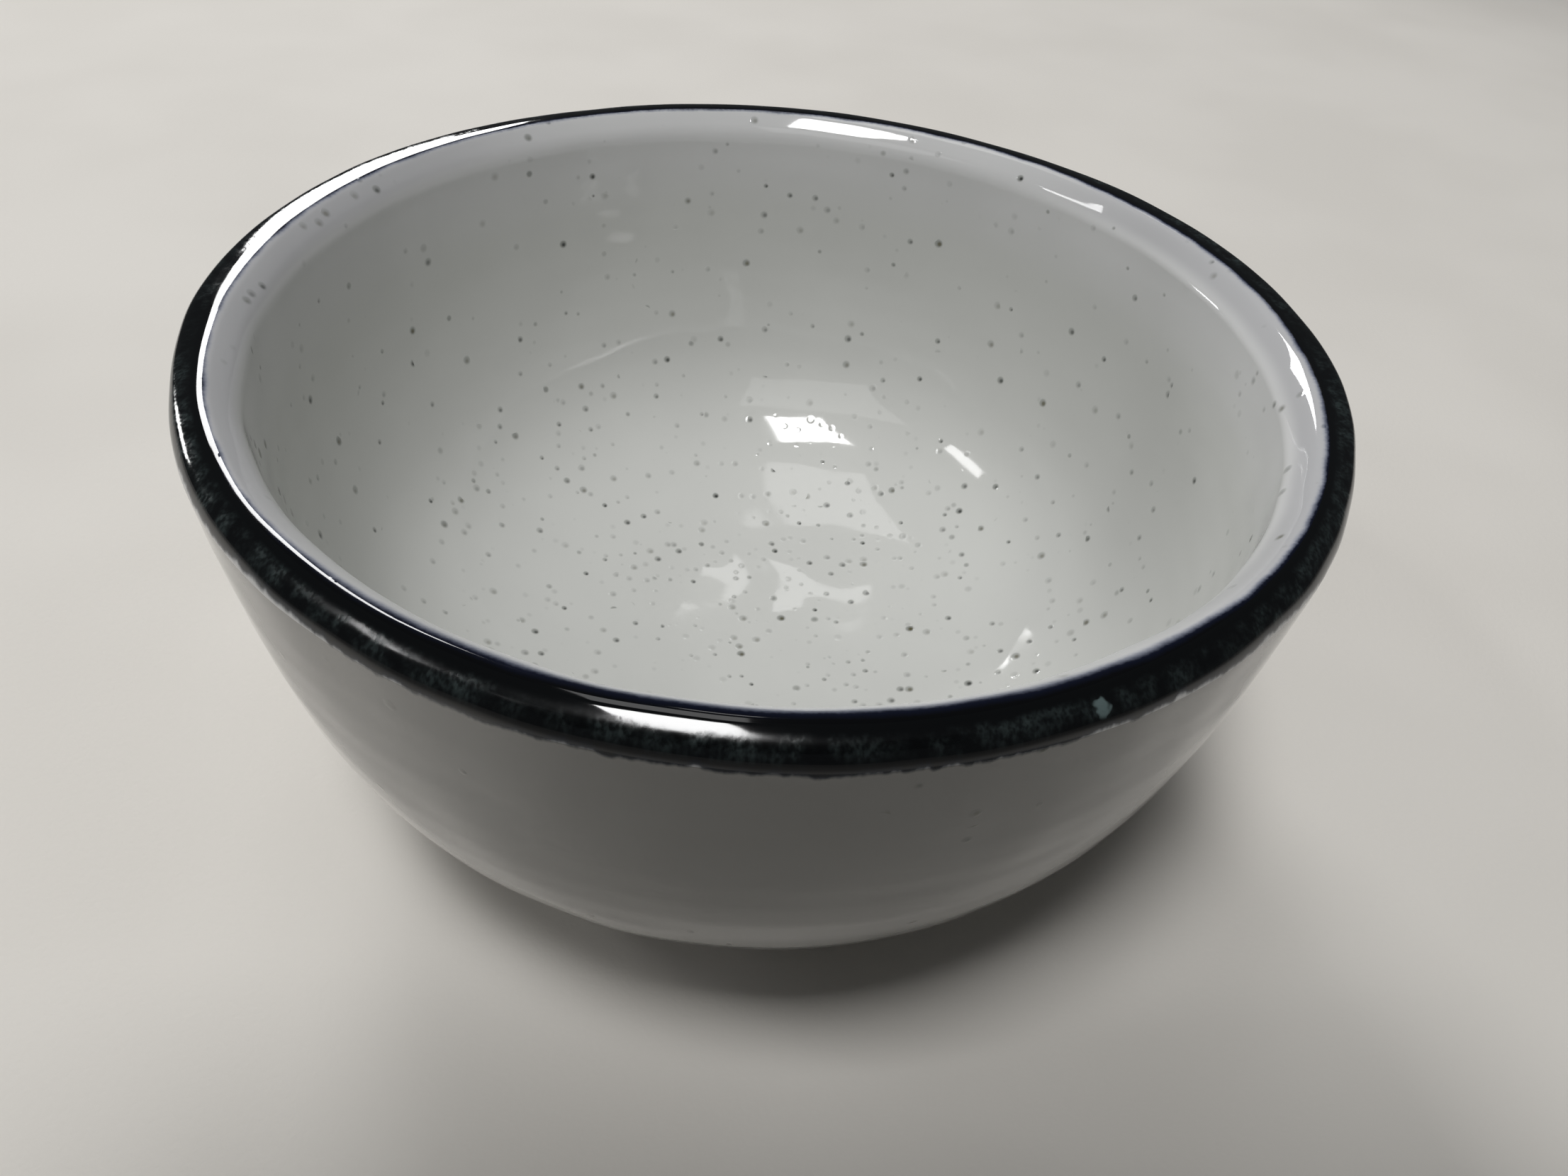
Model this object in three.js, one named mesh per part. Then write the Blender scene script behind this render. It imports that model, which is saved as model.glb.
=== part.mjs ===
// Shaving bowl: a thrown stoneware bowl and the fired glaze coats that cover it.
// Millimetres, +Z up. The origin is the centre of the foot ring, on the surface that the bowl stands on.

import * as THREE from "three";

// Driving dimensions
const RIM_RADIUS = 60;
const HEIGHT = 60;
const FOOT_RADIUS = 29.5;
const FOOT_WIDTH = 4.6;
const FOOT_HEIGHT = 4.2; // from the resting face up to where the belly leaves the foot
const FOOT_CHAMFER = 0.5;
const RECESS_DEPTH = 3.2; // hollow inside the foot ring
const FLOOR_THICKNESS = 6;
const GLAZE_THICKNESS = 0.4;

// The lip is a chain of arcs from the top of the outer wall, over the crest and down to the inner wall.
// Each arc has its radius, the slope that it ends at and its number of facets. A slope is in degrees below
// the horizontal, positive where the surface falls outwards and negative where it falls inwards.
const OUTER_SLOPE = 86;
const DARK_ARCS = [
  { radius: 2.6, slope: 31, steps: 3 }, // outer edge
  { radius: 7.7, slope: 23, steps: 1 }, // nearly flat shoulder
  { radius: 1.9, slope: 0, steps: 2 }, // up to the crest
  { radius: 1.9, slope: -11, steps: 1 }, // just over the crest, where the dark glaze stops
];
const PALE_ARCS = [
  { radius: 1.9, slope: -38, steps: 1 }, // inner edge
  { radius: 12, slope: -45.5, steps: 1 }, // nearly flat flare
  { radius: 3.5, slope: -87, steps: 3 }, // round into the inner wall
];

// Shape of the walls
const WALL_HOLD = 0.57; // share of HEIGHT over which the outer wall keeps its slope at the lip
const BELLY_PULL = 0.42; // length of the belly's curve at the foot, as a share of RIM_RADIUS
const BELLY_SLOPE = 18; // angle of the belly above the horizontal at the foot, in degrees
const INSIDE_HOLD = 0.517; // as WALL_HOLD, for the inner wall
const INSIDE_PULL = 0.79; // length of the floor's flat curve, as a share of RIM_RADIUS

// Fineness of the facets
const SIDES = 64;
const WALL_STEPS = 9;

/** A point of a profile: its distance from the bowl's axis, and its height. */
function point(radius, z) {
  return new THREE.Vector2(radius, z);
}

/** The point a given length away from another, in a direction given in degrees above the horizontal. */
function along(from, length, angle) {
  const turn = THREE.MathUtils.degToRad(angle);
  return point(from.x + length * Math.cos(turn), from.y + length * Math.sin(turn));
}

/** Facets in a list of arcs. */
function facets(arcs) {
  return arcs.reduce((sum, arc) => sum + arc.steps, 0);
}

/** Finished surface of the lip, from the top of the outer wall to the top of the inner wall. */
function lipProfile() {
  const points = [point(RIM_RADIUS, 0)];
  let facing = 90 - OUTER_SLOPE;
  for (const { radius, slope, steps } of [...DARK_ARCS, ...PALE_ARCS]) {
    const centre = along(points.at(-1), -radius, facing);
    const step = (90 - slope - facing) / steps;
    for (let i = 1; i <= steps; i++) points.push(along(centre, radius, facing + i * step));
    facing = 90 - slope;
  }
  const top = Math.max(...points.map((p) => p.y));
  return points.map((p) => point(p.x, p.y + HEIGHT - top));
}

/** Finished outer surface, from the foot up to the lower edge of the dark band. */
function outerWall(top) {
  const foot = point(FOOT_RADIUS, FOOT_HEIGHT);
  const belly = along(foot, BELLY_PULL * RIM_RADIUS, BELLY_SLOPE);
  const wall = along(top, -WALL_HOLD * HEIGHT, OUTER_SLOPE);
  return new THREE.CubicBezierCurve(foot, belly, wall, top).getPoints(WALL_STEPS);
}

/** Finished inner surface, from the lip down to the middle of the floor. */
function innerWall(top) {
  const wall = along(top, INSIDE_HOLD * HEIGHT, -180 - PALE_ARCS.at(-1).slope);
  const middle = point(0, RECESS_DEPTH + FLOOR_THICKNESS);
  const floor = along(middle, INSIDE_PULL * RIM_RADIUS, 0);
  return new THREE.CubicBezierCurve(top, wall, floor, middle).getPoints(WALL_STEPS);
}

/** The same profile moved into the clay by the glaze's thickness; the last point stays on the axis. */
function underGlaze(profile) {
  const last = profile.length - 1;
  return profile.map((here, i) => {
    const before = profile[Math.max(i - 1, 0)];
    const after = profile[Math.min(i + 1, last)];
    const run = after.clone().sub(before).normalize();
    const inward = i === last ? point(0, -1) : point(-run.y, run.x);
    return here.clone().addScaledVector(inward, GLAZE_THICKNESS);
  });
}

/** A coat between the finished surface and the clay, over the profile's points from first to last. */
function coat(finished, clay, first, last) {
  const outside = finished.slice(first, last + 1);
  const inside = clay.slice(first, last + 1).reverse();
  return [...outside, ...inside, outside[0]];
}

/** A named solid of revolution from a profile that starts and ends on the axis, or closes on itself. */
function turned(name, profile, finish) {
  const geometry = new THREE.LatheGeometry(profile, SIDES);
  geometry.rotateX(Math.PI / 2);
  const mesh = new THREE.Mesh(geometry, new THREE.MeshStandardMaterial(finish));
  mesh.name = name;
  return mesh;
}

// The finished surface from the foot, up the outside, over the lip and down the inside to the axis
const lip = lipProfile();
const finished = [...outerWall(lip[0]), ...lip.slice(1), ...innerWall(lip.at(-1)).slice(1)];
const clay = underGlaze(finished);
const bandLow = WALL_STEPS;
const bandHigh = bandLow + facets(DARK_ARCS);

// The clay under the coats, with the bare foot ring and the recess inside it
const footInner = FOOT_RADIUS - FOOT_WIDTH;
const recessRadius = footInner - RECESS_DEPTH / 2;
const footRing = [
  point(0, RECESS_DEPTH),
  point(recessRadius, RECESS_DEPTH),
  point(footInner, FOOT_CHAMFER),
  point(footInner + FOOT_CHAMFER, 0),
  point(FOOT_RADIUS - 2 * FOOT_CHAMFER, 0),
  point(FOOT_RADIUS - FOOT_CHAMFER, FOOT_CHAMFER),
];

const recessGlaze = [
  point(0, RECESS_DEPTH - GLAZE_THICKNESS),
  point(recessRadius - GLAZE_THICKNESS, RECESS_DEPTH - GLAZE_THICKNESS),
  point(recessRadius, RECESS_DEPTH),
  point(0, RECESS_DEPTH),
];

const innerCoat = [
  ...clay.slice(bandHigh).reverse(),
  ...finished.slice(bandHigh),
];

const bowl = new THREE.Group();
bowl.add(
  turned("stoneware_body", [...footRing, ...clay], { color: "#b9a88f", roughness: 0.85, metalness: 0 }),
  turned("outer_glaze", coat(finished, clay, 0, bandLow), { color: "#c9c8c1", roughness: 0.12, metalness: 0 }),
  turned("rim_glaze", coat(finished, clay, bandLow, bandHigh), { color: "#0c0e12", roughness: 0.1, metalness: 0 }),
  turned("inner_glaze", innerCoat, { color: "#d3d5cf", roughness: 0.1, metalness: 0 }),
  turned("recess_glaze", recessGlaze, { color: "#c9c8c1", roughness: 0.2, metalness: 0 }),
);

export default bowl;
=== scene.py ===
"""Looks for the shaving bowl: a thrown stoneware bowl with a speckled white glaze and a dark glazed lip.

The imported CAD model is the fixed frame. Each CAD node is replaced by a finer solid of revolution with the
small unevenness of a hand-made glazed pot, and takes a procedural ceramic material. Metres, +Z up.
"""

import math

import bpy
import numpy as np
from mathutils import Matrix, Vector


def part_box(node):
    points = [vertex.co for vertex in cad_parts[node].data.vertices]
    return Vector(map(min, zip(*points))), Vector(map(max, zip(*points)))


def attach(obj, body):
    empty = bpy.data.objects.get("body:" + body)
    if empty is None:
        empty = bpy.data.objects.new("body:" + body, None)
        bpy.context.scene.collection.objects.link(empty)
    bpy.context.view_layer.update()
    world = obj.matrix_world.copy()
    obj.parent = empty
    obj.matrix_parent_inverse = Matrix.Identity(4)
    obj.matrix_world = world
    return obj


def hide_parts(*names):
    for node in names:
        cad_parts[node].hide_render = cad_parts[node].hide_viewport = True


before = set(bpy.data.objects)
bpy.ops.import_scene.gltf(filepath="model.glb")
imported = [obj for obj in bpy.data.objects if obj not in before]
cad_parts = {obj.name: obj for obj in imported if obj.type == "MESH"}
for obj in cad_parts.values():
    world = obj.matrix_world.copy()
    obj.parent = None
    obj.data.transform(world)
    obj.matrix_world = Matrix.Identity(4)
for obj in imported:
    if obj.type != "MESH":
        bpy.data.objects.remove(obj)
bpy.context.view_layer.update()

MM = 0.001
GLAZE_THICKNESS = 0.4 * MM

# Sizes read from the frame
RIM_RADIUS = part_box("rim_glaze")[1].x
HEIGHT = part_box("rim_glaze")[1].z
FOOT_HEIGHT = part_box("outer_glaze")[0].z
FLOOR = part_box("inner_glaze")[0].z + GLAZE_THICKNESS
RECESS_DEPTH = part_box("recess_glaze")[1].z

# The design's other driving sizes
FOOT_RADIUS = 29.5 * MM
FOOT_WIDTH = 4.6 * MM
FOOT_CHAMFER = 0.5 * MM
WALL_HOLD = 0.57  # share of HEIGHT over which the outer wall keeps its slope at the lip
BELLY_PULL = 0.42  # length of the belly's curve at the foot, as a share of RIM_RADIUS
BELLY_SLOPE = 18  # degrees above the horizontal, at the foot
INSIDE_HOLD = 0.517  # as WALL_HOLD, for the inner wall
INSIDE_PULL = 0.79  # length of the floor's flat curve, as a share of RIM_RADIUS

# The lip's arcs from its outer edge inwards: radius, and the slope that each ends at in degrees
OUTER_SLOPE = 86
DARK_ARCS = [(2.6 * MM, 31), (7.7 * MM, 23), (1.9 * MM, 0), (1.9 * MM, -11)]
PALE_ARCS = [(1.9 * MM, -38), (12 * MM, -45.5), (3.5 * MM, -87)]

# Fineness of the visual solids
SIDES = 320
WALL_STEPS = 90
ARC_STEP = 0.12 * MM
ON_AXIS = 1e-7  # a ring of points narrower than this counts as one point


# ---------------------------------------------------------------- profile

def along(start, length, angle):
    """The point a given length away, in a direction given in degrees above the horizontal."""
    a = math.radians(angle)
    return np.array([start[0] + length * math.cos(a), start[1] + length * math.sin(a)])


def bezier(a, b, c, d, steps):
    """Points of a cubic curve, as rows of (radius, height)."""
    t = np.linspace(0, 1, steps + 1)[:, None]
    a, b, c, d = (np.array(p, float) for p in (a, b, c, d))
    return (1 - t) ** 3 * a + 3 * (1 - t) ** 2 * t * b + 3 * (1 - t) * t ** 2 * c + t ** 3 * d


def lip_profile():
    """Finished lip, from the outer wall over the crest to the inner wall, and where the dark arcs end."""
    points = [np.array([RIM_RADIUS, 0.0])]
    facing = 90 - OUTER_SLOPE
    for number, (radius, slope) in enumerate(DARK_ARCS + PALE_ARCS):
        centre = along(points[-1], -radius, facing)
        steps = round(radius * math.radians(90 - slope - facing) / ARC_STEP)
        for angle in np.linspace(facing, 90 - slope, steps + 1)[1:]:
            points.append(along(centre, radius, angle))
        facing = 90 - slope
        if number == len(DARK_ARCS) - 1:
            dark_end = len(points) - 1
    points = np.array(points)
    points[:, 1] += HEIGHT - points[:, 1].max()
    return points, dark_end


def outer_wall(top):
    """Finished outer surface, from the foot up to the lip."""
    foot = (FOOT_RADIUS, FOOT_HEIGHT)
    belly = along(foot, BELLY_PULL * RIM_RADIUS, BELLY_SLOPE)
    wall = along(top, -WALL_HOLD * HEIGHT, OUTER_SLOPE)
    return bezier(foot, belly, wall, top, WALL_STEPS)


def inner_wall(top):
    """Finished inner surface, from the lip down to the middle of the floor."""
    wall = along(top, INSIDE_HOLD * HEIGHT, -180 - PALE_ARCS[-1][1])
    return bezier(top, wall, (INSIDE_PULL * RIM_RADIUS, FLOOR), (0, FLOOR), WALL_STEPS)


lip, dark_end = lip_profile()
finished = np.concatenate([outer_wall(lip[0]), lip[1:], inner_wall(lip[-1])[1:]])
BAND_FIRST = WALL_STEPS
BAND_LAST = WALL_STEPS + dark_end
CREST_RADIUS = lip[lip[:, 1].argmax(), 0]


def under_glaze(profile):
    """The profile moved into the clay by the glaze's thickness."""
    run = np.gradient(profile, axis=0)
    run /= np.linalg.norm(run, axis=1, keepdims=True)
    inward = np.stack([-run[:, 1], run[:, 0]], axis=1)
    inward[-1] = (0, -1)
    return profile + GLAZE_THICKNESS * inward


# ---------------------------------------------------------------- hand-made unevenness

def waver(turn, parts):
    """A smooth closed wave round the bowl: parts are (lobes, height, phase)."""
    return sum(height * np.sin(lobes * turn + phase) for lobes, height, phase in parts)


# Waves round the bowl: lobes, height and phase
ROUNDNESS = [(2, 0.05 * MM, math.pi / 2), (3, 0.05 * MM, 2.1), (5, 0.02 * MM, 0.4)]
LEVEL = [(2, 0.04 * MM, 1.9), (3, 0.04 * MM, 0.3), (7, 0.015 * MM, 1.1)]

# Rings left by the potter's fingers, and how far each one leans as it goes round
THROWING_PITCH = 4.2 * MM
THROWING_DEPTH = 0.012 * MM
THROWING_LEAN = 1.3

# The glaze's soft swells: waves in many directions, added together
GLAZE_SWELL = 0.011 * MM
SWELL_LENGTHS = (7 * MM, 16 * MM)
SWELLS = 26

rng = np.random.default_rng(11)
swell_ways = rng.normal(size=(SWELLS, 3))
swell_ways /= np.linalg.norm(swell_ways, axis=1, keepdims=True)
swell_lengths = rng.uniform(*SWELL_LENGTHS, size=SWELLS)
swell_phases = rng.uniform(0, 2 * math.pi, size=SWELLS)

# The lip's outer corner is fuller at the two sides and a little at the back, and rounded off at the front
CORNER = (RIM_RADIUS - 0.7 * MM, HEIGHT - 1.0 * MM)
CORNER_REACH = 2.5 * MM
SIDE_FULLNESS = 0.9 * MM
BACK_FULLNESS = 0.6 * MM

# The mouth is a little wider from side to side than from front to back
SIDE_SPREAD = 0.45 * MM

# The flare inside the lip drops more steeply on the right
FLARE = (54.5 * MM, 58.0 * MM)
FLARE_REACH = 2.2 * MM
FLARE_DROP = 0.45 * MM


def smooth(x, low, high):
    """0 up to low and 1 from high, with a soft step between them."""
    t = np.clip((x - low) / (high - low), 0, 1)
    return t * t * (3 - 2 * t)


def corner_fullness(r, z, turn):
    """How far the lip's outer corner is pushed outwards and upwards at each point."""
    near = smooth(np.hypot(r - CORNER[0], z - CORNER[1]), CORNER_REACH, 0)
    amount = BACK_FULLNESS + (SIDE_FULLNESS - BACK_FULLNESS) * smooth(np.abs(np.cos(turn)), 0.45, 0.85)
    return near * amount * smooth(np.sin(turn), -0.5, -0.05)


def uneven(points, turn, depth):
    """Moves a grid of points as a potter's hands and the glaze's own pull leave it."""
    r = np.hypot(points[..., 0], points[..., 1])
    z = points[..., 2]
    share = np.clip(z / HEIGHT, 0, 1) * np.clip(r / RIM_RADIUS, 0, 1)
    out = np.stack([np.cos(turn) + 0 * z, np.sin(turn) + 0 * z, 0 * z], axis=-1)
    swell = np.zeros_like(z)
    for way, length, phase in zip(swell_ways, swell_lengths, swell_phases):
        swell += GLAZE_SWELL * np.sin(points @ way * (2 * math.pi / length) + phase)
    rings = THROWING_DEPTH * np.sin(2 * math.pi * z / THROWING_PITCH + THROWING_LEAN * np.sin(turn))
    fuller = corner_fullness(r, z, turn) * math.sqrt(0.5)  # as much upwards as outwards
    spread = SIDE_SPREAD * smooth(np.abs(np.cos(turn)), 0.5, 0.97) * smooth(z, HEIGHT / 3, HEIGHT)
    push = share * waver(turn, ROUNDNESS) + depth * (swell + rings) + spread + fuller
    moved = points + out * push[..., None]
    near_flare = smooth(np.hypot(r - FLARE[0], z - FLARE[1]), FLARE_REACH, 0)
    drop = FLARE_DROP * near_flare * smooth(np.cos(turn), 0.5, 0.9)
    moved[..., 2] += share * waver(turn, LEVEL) + depth * swell * (1 - share) + fuller - drop
    return moved


# ---------------------------------------------------------------- meshes

turn = np.arange(SIDES) * 2 * math.pi / SIDES
KEEP_NORMAL = 0.5  # cosine: a face whose shading normals lean further than this from its own is shaded flat


def grid(profile, depth=1):
    """Rings of points round the axis, made uneven: array of (profile point, side, xyz)."""
    r, z = profile[:, 0][:, None], profile[:, 1][:, None]
    rings = np.stack([r * np.cos(turn), r * np.sin(turn), z + 0 * turn], axis=2)
    moved = uneven(rings, turn, depth)
    on_axis = profile[:, 0] < ON_AXIS
    moved[on_axis] = moved[on_axis].mean(axis=1, keepdims=True)
    return moved


def grid_normals(rings):
    """Outward normals of a grid that runs up the outside and down the inside."""
    around = np.roll(rings, -1, axis=1) - np.roll(rings, 1, axis=1)
    upward = np.gradient(rings, axis=0)
    normals = np.cross(around, upward)
    normals /= np.maximum(np.linalg.norm(normals, axis=2, keepdims=True), 1e-12)
    normals[-1] = (0, 0, 1)
    return normals


def solid(name, rings, normals, node, closed_ring):
    """A solid from rings of points. A ring on the axis becomes one point.

    normals holds one grid of shading normals for the rings that have them, and NaN for the rings that don't.
    """
    verts, index, shading = [], [], []
    for ring, around in zip(rings, normals):
        if np.hypot(*(ring[0, :2] - ring[SIDES // 2, :2])) < ON_AXIS:
            index.append([len(verts)] * SIDES)
            verts.append(ring[0])
            shading.append(around[0])
        else:
            index.append(list(range(len(verts), len(verts) + SIDES)))
            verts.extend(ring)
            shading.extend(around)
    if closed_ring:
        index.append(index[0])
    faces = []
    for low, high in zip(index, index[1:]):
        for i in range(SIDES):
            j = (i + 1) % SIDES
            face = [low[i], low[j], high[j], high[i]]
            face = [v for k, v in enumerate(face) if v not in face[:k]]
            if len(face) > 2:
                faces.append(face)
    mesh = bpy.data.meshes.new(name)
    mesh.from_pydata([tuple(v) for v in verts], [], faces)
    mesh.shade_smooth()
    shading = np.array(shading)
    loop_normals = []
    for face in mesh.polygons:
        chosen = shading[list(face.vertices)]
        plain = np.isnan(chosen).any() or (chosen @ np.array(face.normal)).min() < KEEP_NORMAL
        loop_normals.extend([tuple(face.normal)] * len(chosen) if plain else [tuple(n) for n in chosen])
    mesh.normals_split_custom_set(loop_normals)
    mesh.update()
    piece = bpy.data.objects.new(name, mesh)
    bpy.context.scene.collection.objects.link(piece)
    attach(piece, "root")
    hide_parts(node)
    return piece


surface = grid(finished)
surface_normals = grid_normals(surface)
underside = grid(under_glaze(finished))
hidden = np.full_like(surface, np.nan)


def coat(name, first, last, node):
    """A glaze coat over the finished profile's rings from first to last."""
    part = slice(first, last + 1)
    rings = np.concatenate([surface[part], underside[part][::-1]])
    normals = np.concatenate([surface_normals[part], hidden[part]])
    return solid(name, rings, normals, node, closed_ring=True)


outer = coat("outer_coat", 0, BAND_FIRST, "outer_glaze")
rim = coat("rim_coat", BAND_FIRST, BAND_LAST, "rim_glaze")
inner = solid("inner_coat",
              np.concatenate([underside[BAND_LAST:][::-1], surface[BAND_LAST:]]),
              np.concatenate([hidden[BAND_LAST:], surface_normals[BAND_LAST:]]),
              "inner_glaze", closed_ring=False)

foot_inner = FOOT_RADIUS - FOOT_WIDTH
recess_radius = foot_inner - RECESS_DEPTH / 2


def rounded(corner, start, end, steps):
    """A quarter-round between two points, with its corner point."""
    t = np.linspace(0, 1, steps + 1)[:, None]
    start, corner, end = (np.array(p) for p in (start, corner, end))
    return (1 - t) ** 2 * start + 2 * (1 - t) * t * corner + t ** 2 * end


SLOPE_STEPS = 8
ROUND_STEPS = 5

foot_profile = np.concatenate([
    [(0, RECESS_DEPTH)],
    np.linspace((recess_radius, RECESS_DEPTH), (foot_inner, FOOT_CHAMFER), SLOPE_STEPS)[:-1],
    rounded((foot_inner, 0), (foot_inner, FOOT_CHAMFER), (foot_inner + FOOT_CHAMFER, 0), ROUND_STEPS),
    rounded((FOOT_RADIUS - FOOT_CHAMFER, 0), (FOOT_RADIUS - 2 * FOOT_CHAMFER, 0),
            (FOOT_RADIUS - FOOT_CHAMFER, FOOT_CHAMFER), ROUND_STEPS),
    np.linspace((FOOT_RADIUS - FOOT_CHAMFER, FOOT_CHAMFER), under_glaze(finished)[0], SLOPE_STEPS + 1)[1:-1],
])
foot_rings = grid(foot_profile, depth=0)
body_rings = np.concatenate([foot_rings, underside])
body = solid("clay_body", body_rings, np.full_like(body_rings, np.nan),
             "stoneware_body", closed_ring=False)

recess_profile = np.array([
    (0, RECESS_DEPTH - GLAZE_THICKNESS),
    (recess_radius - GLAZE_THICKNESS, RECESS_DEPTH - GLAZE_THICKNESS),
    (recess_radius, RECESS_DEPTH),
    (0, RECESS_DEPTH),
])
recess_rings = grid(recess_profile, depth=0)
recess = solid("recess_coat", recess_rings, np.full_like(recess_rings, np.nan),
               "recess_glaze", closed_ring=False)


# ---------------------------------------------------------------- node helpers

class Nodes:
    """Short calls for building one material's node tree. Lengths in it are millimetres."""

    def __init__(self, name):
        self.material = bpy.data.materials.new(name)
        self.material.use_nodes = True
        self.tree = self.material.node_tree
        self.shader = self.tree.nodes["Principled BSDF"]
        where = self.tree.nodes.new("ShaderNodeTexCoord").outputs["Object"]
        self.place = self.vector("SCALE", where, scale=1 / MM)
        split = self.tree.nodes.new("ShaderNodeSeparateXYZ")
        self.link(self.place, split.inputs[0])
        self.x, self.y, self.z = split.outputs
        self.radius = self.math("SQRT", self.math("ADD", self.math("MULTIPLY", self.x, self.x),
                                                  self.math("MULTIPLY", self.y, self.y)))

    def link(self, value, socket):
        """Joins another node's output to a socket, or sets the socket to a plain number."""
        if isinstance(value, bpy.types.NodeSocket):
            self.tree.links.new(value, socket)
        else:
            socket.default_value = value

    def math(self, operation, a, b=0.0, clamp=False):
        n = self.tree.nodes.new("ShaderNodeMath")
        n.operation = operation
        n.use_clamp = clamp
        self.link(a, n.inputs[0])
        self.link(b, n.inputs[1])
        return n.outputs[0]

    def vector(self, operation, a, b=(0, 0, 0), scale=1.0):
        """A vector, or a number where the operation gives a length or a distance."""
        n = self.tree.nodes.new("ShaderNodeVectorMath")
        n.operation = operation
        self.link(a, n.inputs[0])
        self.link(b, n.inputs[1])
        self.link(scale, n.inputs[3])
        return n.outputs[1 if operation in ("LENGTH", "DISTANCE") else 0]

    def ramp(self, value, low, high, to_low=0.0, to_high=1.0, smooth=True):
        """The value mapped from one range to another, held at its ends."""
        n = self.tree.nodes.new("ShaderNodeMapRange")
        n.interpolation_type = "SMOOTHSTEP" if smooth else "LINEAR"
        for socket, number in zip(n.inputs[:5], (value, low, high, to_low, to_high)):
            self.link(number, socket)
        return n.outputs[0]

    def noise(self, size, detail=2.0, stretch=(1, 1, 1), shift=(0, 0, 0), roughness=0.5):
        """Noise from 0 to 1 with features of about the given size, stretched along the axes."""
        place = self.vector("DIVIDE", self.vector("ADD", self.place, shift), tuple(size * s for s in stretch))
        n = self.tree.nodes.new("ShaderNodeTexNoise")
        self.link(place, n.inputs["Vector"])
        n.inputs["Scale"].default_value = 1
        n.inputs["Detail"].default_value = detail
        n.inputs["Roughness"].default_value = roughness
        return n.outputs["Fac"]

    def mix(self, share, a, b):
        """Colour a where share is 0, b where it is 1."""
        n = self.tree.nodes.new("ShaderNodeMix")
        n.data_type = "RGBA"
        self.link(share, n.inputs["Factor"])
        for value, socket in ((a, n.inputs[6]), (b, n.inputs[7])):
            self.link(value if isinstance(value, bpy.types.NodeSocket) else (*value, 1), socket)
        return n.outputs[2]

    def colours(self, value, stops):
        """A colour ramp: stops are (position, colour)."""
        n = self.tree.nodes.new("ShaderNodeValToRGB")
        self.link(value, n.inputs[0])
        elements = n.color_ramp.elements
        while len(elements) < len(stops):
            elements.new(0.5)
        for element, (position, colour) in zip(elements, stops):
            element.position = position
            element.color = (*colour, 1)
        return n.outputs[0]

    def bump(self, height):
        """Bump from a height in millimetres."""
        n = self.tree.nodes.new("ShaderNodeBump")
        n.inputs["Strength"].default_value = 1
        n.inputs["Distance"].default_value = MM
        self.link(height, n.inputs["Height"])
        self.link(n.outputs[0], self.shader.inputs["Normal"])


# ---------------------------------------------------------------- glaze

CREST_MM = CREST_RADIUS / MM
TOP_MM = HEIGHT / MM
RIM_MM = RIM_RADIUS / MM
DARK_DROP = 2.75  # from the crest down to where the dark glaze has half faded, on the outside at the front
SIDE_DROP = 0.7  # how much less that is at the sides
FRONT_FADE = 1.4  # how much longer the dark glaze takes to fade inside the lip at the front
SIDE_SHADE = 0.55  # how far the flare inside the lip greys at the two sides, as painted shade
SPECK_CELL = 1.85  # at most one speck in each cell of this size
SPECK_RADIUS = (0.34, 0.68)
SPECK_RARITY = 2.4  # the higher, the fewer specks are dark
BROWN_SHARE = 0.14  # share of the specks that are brown
SPECK_SHADE_SHIFT = (0.13, -0.09, -0.06)  # how far the dark heart of a speck is moved off its middle, as painted shade on one side of it
CRYSTAL_ANGLE = 297  # degrees round the axis from +X towards +Y
CRYSTAL_RADIUS = 59.1  # of the one pale crystal, from the bowl's axis
CRYSTAL_HEIGHT = 59.15

# Colours of the glaze
CLOUD_TONE = (0.50, 0.50, 0.49)
SHADE_TONE = (0.40, 0.40, 0.42)
HALO_TONE = (0.20, 0.21, 0.19)
IRON_TONE = (0.045, 0.048, 0.045)
BROWN_TONE = (0.16, 0.14, 0.06)
TEAL_TONE = (0.030, 0.041, 0.041)
CRYSTAL_TONE = (0.16, 0.22, 0.22)
OUTER_FADE_TONES = [(0.0, (0.003, 0.0035, 0.004)), (0.35, (0.004, 0.007, 0.013)),
                    (0.75, (0.02, 0.03, 0.045)), (1.0, (0.10, 0.11, 0.12))]
INNER_FADE_TONES = [(0.0, (0.002, 0.0022, 0.0028)), (0.3, (0.004, 0.006, 0.018)),
                    (0.6, (0.06, 0.085, 0.17)), (1.0, (0.40, 0.43, 0.56))]

# Heights of the glaze's relief, and how much rougher its matt places are
PEEL_HEIGHT = 0.006
PIT_HEIGHT = 0.01
BLISTER_HEIGHT = 0.02
SATIN_ROUGHNESS = 0.09
CRYSTAL_ROUGHNESS = 0.16


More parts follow.
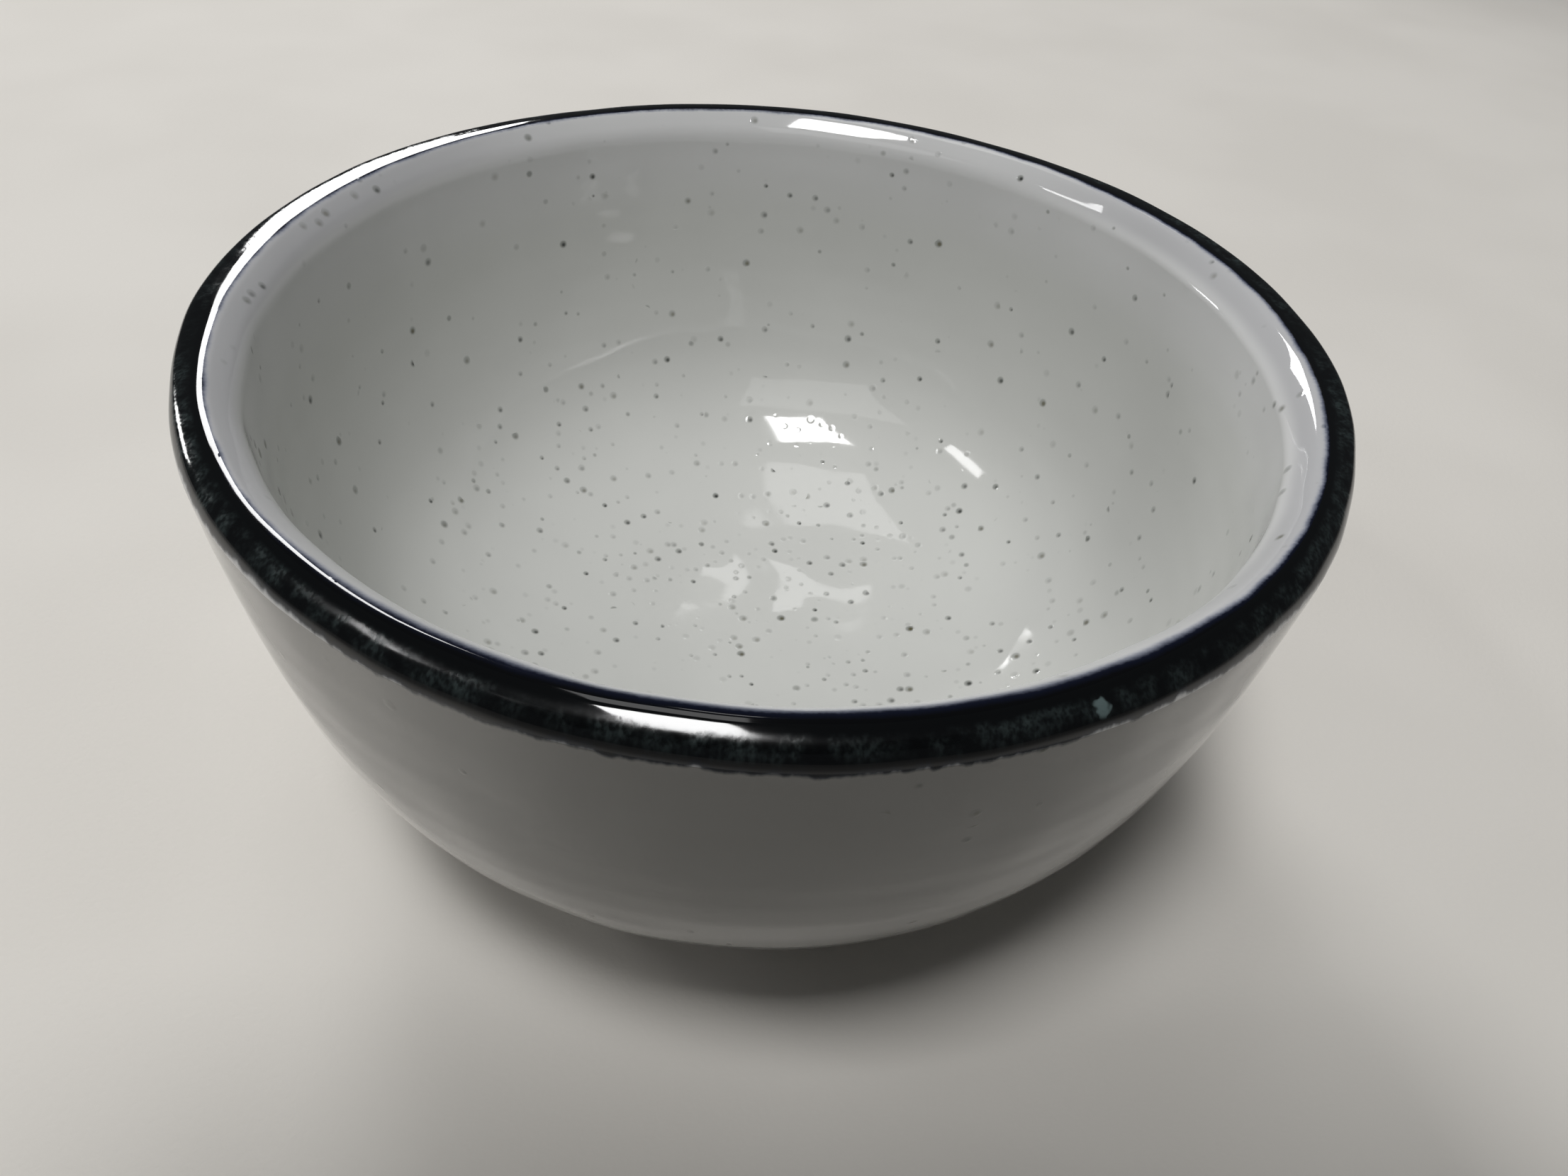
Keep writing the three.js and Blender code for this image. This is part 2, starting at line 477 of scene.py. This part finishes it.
def specks(n, density):
    """Iron specks: the shares of their pale halo and of their dark heart, which is moved to one side as
    painted shade, how brown, and the blister's height.
    """
    cells = n.tree.nodes.new("ShaderNodeTexVoronoi")
    cells.inputs["Scale"].default_value = 1
    n.link(n.vector("SCALE", n.place, scale=1 / SPECK_CELL), cells.inputs["Vector"])
    pick = n.tree.nodes.new("ShaderNodeSeparateColor")
    n.link(cells.outputs["Color"], pick.inputs[0])
    chance, strength, size = pick.outputs
    there = n.math("LESS_THAN", chance, density)
    radius = n.ramp(size, 0, 1, *SPECK_RADIUS, smooth=False)
    offset = n.vector("SUBTRACT", n.place, n.vector("SCALE", cells.outputs["Position"], scale=SPECK_CELL))
    reach = n.vector("LENGTH", offset)
    disc = n.ramp(n.math("DIVIDE", reach, radius), 0.55, 1.15, 1, 0)
    # The dark iron heart is real; its shift to one side of each speck is painted shade.
    heart_reach = n.vector("LENGTH", n.vector("SUBTRACT", offset, SPECK_SHADE_SHIFT))
    heart = n.ramp(n.math("DIVIDE", heart_reach, radius), 0.15, 0.75, 1, 0)
    power = n.math("POWER", strength, SPECK_RARITY)
    halo = n.math("MULTIPLY", disc, n.ramp(power, 0, 1, 0.15, 0.75, smooth=False))
    core = n.math("MULTIPLY", n.math("MULTIPLY", heart, disc), n.ramp(power, 0, 1, 0.18, 1.0, smooth=False))
    brown = n.math("GREATER_THAN", size, 1 - BROWN_SHARE)
    return (n.math("MULTIPLY", halo, there), n.math("MULTIPLY", core, there), brown,
            n.math("MULTIPLY", disc, there))


def band(n):
    """How far the dark glaze has faded on its outer and its inner side: 0 is full black, 1 is none left."""
    drop = n.math("SUBTRACT", TOP_MM, n.z)
    shorter = n.ramp(n.math("ABSOLUTE", n.x), 20, 42, 0, SIDE_DROP)
    wander = n.ramp(n.noise(6, 2, stretch=(1, 1, 9)), 0.25, 0.75, -0.4, 0.4, smooth=False)
    teeth = n.ramp(n.noise(1.1, 2, stretch=(1, 1, 5)), 0.25, 0.75, -0.25, 0.25, smooth=False)
    outer_edge = n.math("ADD", n.math("ADD", drop, shorter), n.math("ADD", wander, teeth))
    outer_fade = n.ramp(outer_edge, DARK_DROP - 0.5, DARK_DROP + 0.5, smooth=False)
    oval = n.math("SUBTRACT", n.math("MULTIPLY", n.x, n.x), n.math("MULTIPLY", n.y, n.y))
    oval = n.math("ADD", n.math("MULTIPLY", oval, 0.3 / RIM_MM ** 2), n.math("MULTIPLY", n.x, 0.1 / RIM_MM))
    oval = n.math("SUBTRACT", oval, n.ramp(n.y, 10, 50, 0, 0.15))
    ripple = n.ramp(n.noise(5, 2, shift=(31, 7, 0)), 0.25, 0.75, -0.15, 0.15, smooth=False)
    grain = n.ramp(n.noise(0.4, 1), 0.25, 0.75, -0.05, 0.05, smooth=False)
    inner_edge = n.math("SUBTRACT", n.math("ADD", n.math("ADD", oval, ripple), grain), n.radius)
    inner_end = n.ramp(n.y, -35, -54, -(CREST_MM - 0.65), -(CREST_MM - 0.65 - FRONT_FADE))
    inner_fade = n.ramp(inner_edge, -(CREST_MM + 0.35), inner_end, smooth=False)
    return outer_fade, inner_fade


def mottle(n):
    """The outer shoulder, where the dark glaze thins, and the share of teal-grey crystals on it."""
    drop = n.math("SUBTRACT", TOP_MM, n.z)
    shoulder = n.math("MULTIPLY", n.ramp(n.radius, CREST_MM + 0.9, CREST_MM + 1.6), n.ramp(drop, 2.3, 1.1))
    clouds = n.ramp(n.noise(1.7, 3, stretch=(1, 1, 1.6)), 0.34, 0.72)
    around = n.ramp(n.noise(13, 1, shift=(3, 5, 9)), 0.35, 0.6, 0.15, 1)
    streaks = n.ramp(n.noise(0.4, 1, stretch=(1, 1, 7)), 0.3, 0.7, 0.15, 1)
    crystals = n.math("MULTIPLY", n.math("MULTIPLY", shoulder, clouds), n.math("MULTIPLY", around, streaks))
    return shoulder, crystals


def glaze(name, low_tone, middle_tone, high_tone, speck_density):
    """Glossy off-white glaze under the dark lip's glaze, the same at each place whichever coat it is on."""
    n = Nodes(name)
    # Tones by height: on the inside, painted light on the floor and at the top, painted shade up the middle
    # of the wall.
    base = n.mix(n.ramp(n.z, 12, 30), low_tone, middle_tone)
    base = n.mix(n.ramp(n.z, 44, 56), base, high_tone)
    # Painted shade: the flare inside the lip greys towards the two sides.
    sideways = n.ramp(n.math("ABSOLUTE", n.x), 25, 50, 0, SIDE_SHADE)
    base = n.mix(n.math("MULTIPLY", sideways, n.ramp(n.z, TOP_MM - 3, TOP_MM - 1.5)), base, SHADE_TONE)
    cloud = n.ramp(n.noise(22, 2), 0.3, 0.7)
    base = n.mix(n.math("MULTIPLY", cloud, 0.10), base, CLOUD_TONE)

    halo, core, brown, blister = specks(n, speck_density(n))
    base = n.mix(halo, base, HALO_TONE)
    base = n.mix(core, base, n.mix(n.math("MULTIPLY", brown, 0.6), IRON_TONE, BROWN_TONE))

    outer_fade, inner_fade = band(n)
    outer_cover = n.ramp(outer_fade, 0.4, 1.0, 1, 0)
    inner_cover = n.ramp(inner_fade, 0.25, 1.0, 1, 0)
    outer_tint = n.colours(outer_fade, OUTER_FADE_TONES)
    inner_tint = n.colours(inner_fade, INNER_FADE_TONES)
    inside = n.math("LESS_THAN", n.radius, CREST_MM + 0.4)
    high = n.ramp(n.z, TOP_MM - 6, TOP_MM - 5)
    by_side = n.mix(inside, outer_tint, inner_tint)
    dark = n.math("MULTIPLY", outer_cover, inner_cover)
    cover = n.math("MULTIPLY", dark, high)

    shoulder, crystals = mottle(n)
    crystals = n.math("MULTIPLY", crystals, dark)
    centre = (*along((0, 0), CRYSTAL_RADIUS, CRYSTAL_ANGLE), CRYSTAL_HEIGHT)
    ragged = n.ramp(n.noise(0.8, 1), 0.3, 0.7, -0.25, 0.25)
    spot = n.ramp(n.math("ADD", n.vector("DISTANCE", n.place, centre), ragged), 0.35, 0.85, 1, 0)
    coloured = n.mix(cover, base, by_side)
    coloured = n.mix(crystals, coloured, TEAL_TONE)
    coloured = n.mix(n.math("MULTIPLY", spot, 0.7), coloured, CRYSTAL_TONE)
    n.link(coloured, n.shader.inputs["Base Color"])

    gloss = n.ramp(n.noise(6, 3, shift=(9, 2, 4)), 0.3, 0.7, 0.035, 0.075)
    satin = n.math("MULTIPLY", n.math("MULTIPLY", shoulder, n.ramp(n.y, -32, -48)), SATIN_ROUGHNESS)
    gloss = n.math("ADD", gloss, satin)
    gloss = n.math("ADD", gloss, n.math("MULTIPLY", crystals, CRYSTAL_ROUGHNESS))
    n.link(gloss, n.shader.inputs["Roughness"])
    n.shader.inputs["IOR"].default_value = 1.5

    peel = n.math("MULTIPLY", n.noise(2.4, 1), PEEL_HEIGHT)
    pits = n.math("MULTIPLY", n.math("MULTIPLY", n.noise(0.5, 1), crystals), PIT_HEIGHT)
    n.bump(n.math("ADD", n.math("ADD", peel, pits), n.math("MULTIPLY", blister, BLISTER_HEIGHT)))
    return n.material


def inside_density(n):
    """Many specks on the floor, fewer up the wall, in loose clusters."""
    by_height = n.ramp(n.z, 11, 30, 0.85, 0.3)
    return n.math("MULTIPLY", by_height, n.ramp(n.noise(9, 1, shift=(0, 40, 0)), 0.35, 0.6, 0.55, 1.1))


def outside_density(n):
    """Very few specks, in loose clusters."""
    return n.ramp(n.noise(14, 1), 0.3, 0.7, 0.0, 0.09)


def lip_density(n):
    """A few specks inside the crest, none on the dark band."""
    return n.ramp(n.radius, CREST_MM - 1.2, CREST_MM - 0.4, 0.2, 0)


# The outside is darker than the inside, because in the photo it stands in shade
# Inside tones: painted light on the floor and at the top of the wall, painted shade up the middle of the
# wall.
LIT_FLOOR_TONE = (0.74, 0.745, 0.715)
SHADED_WALL_TONE = (0.61, 0.615, 0.59)
LIT_UPPER_TONE = (0.69, 0.69, 0.685)
OUTSIDE_TONE = (0.305, 0.30, 0.284)

outside_glaze = glaze("white_glaze", OUTSIDE_TONE, OUTSIDE_TONE, OUTSIDE_TONE, outside_density)
lip_glaze = glaze("dark_glaze", LIT_UPPER_TONE, LIT_UPPER_TONE, LIT_UPPER_TONE, lip_density)
inside_glaze = glaze("speckled_glaze", LIT_FLOOR_TONE, SHADED_WALL_TONE, LIT_UPPER_TONE, inside_density)


# ---------------------------------------------------------------- bare clay

def bare_clay():
    """Sandy fired stoneware: warm buff with fine grit, a toasted rim and pin-head iron grains."""
    n = Nodes("stoneware")
    tone = n.mix(n.ramp(n.noise(7, 3), 0.3, 0.7), (0.46, 0.36, 0.25), (0.60, 0.50, 0.38))
    grit = n.noise(0.35, 3, roughness=0.7)
    tone = n.mix(n.ramp(grit, 0.45, 0.75, 0, 0.35), tone, (0.74, 0.66, 0.54))
    halo, core, _, _ = specks(n, 0.8)
    tone = n.mix(n.math("ADD", halo, core, clamp=True), tone, (0.12, 0.07, 0.04))
    foot_top = FOOT_HEIGHT / MM
    toasted = n.ramp(n.math("ADD", n.z, n.noise(1.2, 2)), foot_top - 0.4, foot_top + 0.6, 0, 0.55)
    tone = n.mix(toasted, tone, (0.30, 0.17, 0.09))
    n.link(tone, n.shader.inputs["Base Color"])
    n.link(n.ramp(grit, 0.3, 0.8, 0.78, 0.95), n.shader.inputs["Roughness"])
    turning = n.math("MULTIPLY", n.noise(0.5, 2, stretch=(14, 14, 0.6)), 0.05)
    n.bump(n.math("ADD", turning, n.math("MULTIPLY", grit, 0.09)))
    return n.material


PALE_CENTRE = 150  # the palest part of the floor, outside the painted shade, is a little behind the bowl
PALE_REACH = (270, 620)  # from PALE_CENTRE, where the floor starts and ends going grey in painted shade
FRONT_REACH = (-85, -230)  # the same, towards the front
FLOOR_SHADE_TONE = (0.16, 0.155, 0.15)


def paper_floor():
    """Pale matt surface with a faint fibre grain, and painted shade that greys it far from the bowl and
    towards the front.
    """
    n = Nodes("floor")
    tone = n.mix(n.ramp(n.noise(60, 2), 0.3, 0.7), (0.75, 0.72, 0.67), (0.79, 0.76, 0.71))
    reach = n.vector("DISTANCE", n.place, (0, PALE_CENTRE, 0))
    # Painted shade: the floor goes grey far from the bowl and towards the front.
    tone = n.mix(n.ramp(reach, *PALE_REACH, 0, 0.85), tone, FLOOR_SHADE_TONE)
    tone = n.mix(n.ramp(n.y, *FRONT_REACH, 0, 0.8), tone, FLOOR_SHADE_TONE)
    n.link(tone, n.shader.inputs["Base Color"])
    n.shader.inputs["Roughness"].default_value = 0.9
    n.bump(n.math("MULTIPLY", n.noise(0.7, 2), 0.04))
    return n.material


outer.data.materials.append(outside_glaze)
rim.data.materials.append(lip_glaze)
inner.data.materials.append(inside_glaze)
body.data.materials.append(bare_clay())
recess.data.materials.append(outside_glaze)


# ---------------------------------------------------------------- camera

VIEW_DISTANCE = 1.8791 * RIM_RADIUS
VIEW_HEIGHT = 1.0737 * RIM_RADIUS + HEIGHT
VIEW_PITCH, VIEW_YAW, VIEW_ROLL = 0.7466, -0.0315, 0.0979
LENS_MM = 27.05


def make_camera():
    """The photo's camera, in front of the bowl and looking down into it."""
    camera = bpy.data.objects.new("camera", bpy.data.cameras.new("camera"))
    camera.data.lens = LENS_MM
    camera.data.sensor_width = 36
    camera.data.clip_start = 0.01
    look = (Matrix.Rotation(VIEW_YAW, 4, "Z")
            @ Matrix.Rotation(math.pi / 2 - VIEW_PITCH, 4, "X")
            @ Matrix.Rotation(VIEW_ROLL, 4, "Z"))
    camera.matrix_world = Matrix.Translation((0, -VIEW_DISTANCE, VIEW_HEIGHT)) @ look
    bpy.context.scene.collection.objects.link(camera)
    bpy.context.scene.camera = camera


make_camera()

# ---------------------------------------------------------------- stage and light

FLOOR_REACH = 2.0  # from the bowl's axis to each side of the floor


def card(name, half_width, half_height, material):
    """A flat rectangle in its own XY plane that only serves the picture."""
    corners = [(-half_width, -half_height, 0), (half_width, -half_height, 0),
               (half_width, half_height, 0), (-half_width, half_height, 0)]
    mesh = bpy.data.meshes.new(name)
    mesh.from_pydata(corners, [], [(0, 1, 2, 3)])
    mesh.materials.append(material)
    item = bpy.data.objects.new(name, mesh)
    bpy.context.scene.collection.objects.link(item)
    return item


card("floor", FLOOR_REACH, FLOOR_REACH, paper_floor())

world = bpy.data.worlds.new("studio")
bpy.context.scene.world = world
world.use_nodes = True
world.node_tree.nodes["Background"].inputs["Color"].default_value = (0.9, 0.95, 1.0, 1)
world.node_tree.nodes["Background"].inputs["Strength"].default_value = 0.05
bpy.context.scene.view_settings.view_transform = "Standard"


def lamp(name, way, size, radiance, distance, turn=0, level=False):
    """A soft box seen from the bowl's mouth in the direction way, of a size given for a distance of 1.

    level keeps it parallel to the floor, as a ceiling panel; otherwise it faces the bowl. radiance is its
    brightness, where 1 is white.
    """
    way = Vector(way)
    data = bpy.data.lights.new(name, "AREA")
    data.shape = "RECTANGLE"
    data.size, data.size_y = (s * distance for s in size)
    data.energy = 4 * data.size * data.size_y * radiance
    item = bpy.data.objects.new(name, data)
    item.location = Vector((0, 0, HEIGHT)) + way * distance
    facing = Matrix.Identity(4) if level else way.to_track_quat("Z", "Y").to_matrix().to_4x4()
    item.rotation_euler = (facing @ Matrix.Rotation(math.radians(turn), 4, "Z")).to_euler()
    bpy.context.scene.collection.objects.link(item)


def towards(azimuth, elevation):
    """Direction from the bowl: azimuth in degrees from +Y towards +X, elevation above the floor."""
    a, e = math.radians(azimuth), math.radians(elevation)
    return (math.sin(a) * math.cos(e), math.cos(a) * math.cos(e), math.sin(e))


# A black card just behind the lens, which shades the bowl as a camera held close to it would
FLAG_SIZE = (0.15, 0.065)
FLAG_SETBACK = 0.012

black = bpy.data.materials.new("black_card")
black.use_nodes = True
black.node_tree.nodes["Principled BSDF"].inputs["Base Color"].default_value = (0.012, 0.012, 0.012, 1)
black.node_tree.nodes["Principled BSDF"].inputs["Roughness"].default_value = 0.9

flag = card("flag", FLAG_SIZE[0] / 2, FLAG_SIZE[1] / 2, black)
flag.matrix_world = bpy.context.scene.camera.matrix_world @ Matrix.Translation((0, 0, FLAG_SETBACK))
flag.visible_camera = False

CEILING = 2.0
lamp("key_panel", (-0.13, -0.26, 1), (0.24, 0.29), 19.5, CEILING, turn=12, level=True)
lamp("left_panel", (-0.97, -0.13, 1), (0.14, 0.30), 9, CEILING, turn=25, level=True)
lamp("back_panel", (-0.12, 0.33, 1), (0.24, 0.44), 1.5, CEILING, level=True)
lamp("front_fill", (-0.30, -0.80, 1), (0.9, 0.6), 0.8, CEILING, level=True)
lamp("far_panel", (-0.03, 0.83, 1), (0.10, 0.12), 2, CEILING, level=True)
lamp("window", towards(-22, 25), (0.27, 0.32), 10, 1.6)
lamp("side_window", towards(-64, 9), (0.15, 0.12), 11, 1.2)
